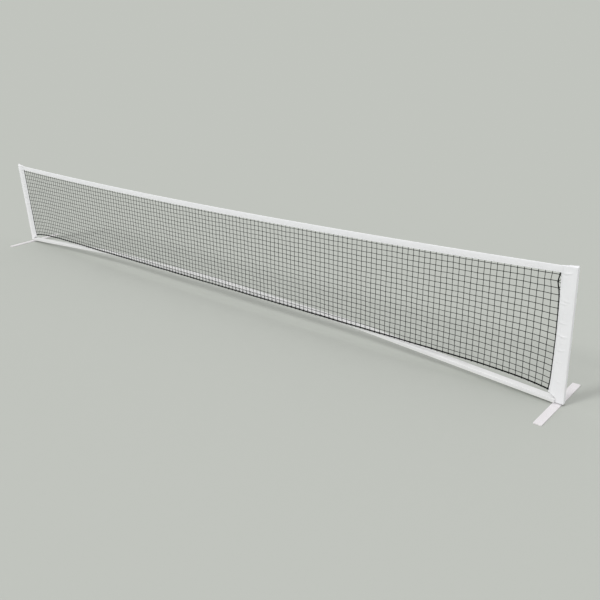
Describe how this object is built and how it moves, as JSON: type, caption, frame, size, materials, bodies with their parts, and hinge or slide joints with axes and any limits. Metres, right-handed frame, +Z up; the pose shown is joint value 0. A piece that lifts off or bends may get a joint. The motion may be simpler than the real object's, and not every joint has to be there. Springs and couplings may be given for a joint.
{
  "type": "mini tennis net",
  "caption": "Free-standing mini tennis net: arched plug-together tube base, flat swivelling feet, lift-out posts in white sleeves, black mesh with a white headband.",
  "frame": {"origin": "on the ground under the middle of the net, halfway along the feet", "axes": "+X along the net towards the right post, +Y across the net, +Z up"},
  "size_m": [6.0232, 0.57, 0.85],
  "materials": {
    "white_frame_paint": "satin powder coat",
    "white_foot_paint": "satin powder coat",
    "zinc_steel": "zinc plated",
    "spring_steel": "tempered strip",
    "black_plug_plastic": "moulded",
    "nylon_washer": "moulded",
    "white_cloth": "coated polyester",
    "head_webbing": "woven tape",
    "net_twine": "knotted polyethylene twine",
    "black_cord": "braided cord"
  },
  "bodies": {
    "base": {"base_outer_left": "white_frame_paint", "base_outer_right": "white_frame_paint", "base_inner_left": "white_frame_paint", "base_inner_right": "white_frame_paint", "joiner_left": "zinc_steel", "joiner_centre": "zinc_steel", "joiner_right": "zinc_steel", "joiner_rivets": "zinc_steel", "snap_spring_left": "spring_steel", "snap_spring_centre": "spring_steel", "snap_spring_right": "spring_steel", "foot_boss_left": "white_frame_paint", "foot_boss_right": "white_frame_paint", "foot_screw_left": "zinc_steel", "foot_screw_right": "zinc_steel", "socket_plug_left": "black_plug_plastic", "socket_plug_right": "black_plug_plastic"},
    "foot_left": {"foot_left": "white_foot_paint", "foot_washer_left": "nylon_washer"},
    "foot_right": {"foot_right": "white_foot_paint", "foot_washer_right": "nylon_washer"},
    "post_left": {"post_left": "white_frame_paint", "spigot_left": "zinc_steel", "spigot_rivets_left": "zinc_steel", "post_cap_left": "black_plug_plastic"},
    "post_right": {"post_right": "white_frame_paint", "spigot_right": "zinc_steel", "spigot_rivets_right": "zinc_steel", "post_cap_right": "black_plug_plastic"},
    "net": {"sleeve_left": "white_cloth", "sleeve_right": "white_cloth", "headband": "white_cloth", "head_tape": "head_webbing", "net_mesh": "net_twine", "bottom_cord": "black_cord", "side_cord_left": "black_cord", "side_cord_right": "black_cord"},
    "button_left": {"snap_button_left": "zinc_steel"},
    "button_centre": {"snap_button_centre": "zinc_steel"},
    "button_right": {"snap_button_right": "zinc_steel"}
  },
  "joints": [
    {"name": "foot_left_swivel", "type": "hinge", "parent": "base", "child": "foot_left", "pos_m": [-2.975, 0, 0.006], "axis": [0, 0, 1], "range_deg": [0, 90]},
    {"name": "foot_right_swivel", "type": "hinge", "parent": "base", "child": "foot_right", "pos_m": [2.975, 0, 0.006], "axis": [0, 0, -1], "range_deg": [0, 90]},
    {"name": "post_left_lift", "type": "slide", "parent": "base", "child": "post_left", "axis": [0, 0, 1], "range_m": [0, 0.09]},
    {"name": "post_right_lift", "type": "slide", "parent": "base", "child": "post_right", "axis": [0, 0, 1], "range_m": [0, 0.09]},
    {"name": "net_lift", "type": "slide", "parent": "post_left", "child": "net", "axis": [0, 0, 1], "range_m": [0, 0.85]},
    {"name": "button_left_press", "type": "slide", "parent": "base", "child": "button_left", "axis": [-0.068, 0, 0.9977], "range_m": [0, 0.0048], "stiffness_N_per_m": 1200, "springref_m": -0.003, "deforming": ["snap_spring_left"]},
    {"name": "button_centre_press", "type": "slide", "parent": "base", "child": "button_centre", "axis": [0.0201, 0, 0.9998], "range_m": [0, 0.0048], "stiffness_N_per_m": 1200, "springref_m": -0.003, "deforming": ["snap_spring_centre"]},
    {"name": "button_right_press", "type": "slide", "parent": "base", "child": "button_right", "axis": [0.068, 0, 0.9977], "range_m": [0, 0.0048], "stiffness_N_per_m": 1200, "springref_m": -0.003, "deforming": ["snap_spring_right"]}
  ],
  "couplings": [
    {"joint": "post_right_lift", "follows": "post_left_lift", "ratio": 1}
  ]
}
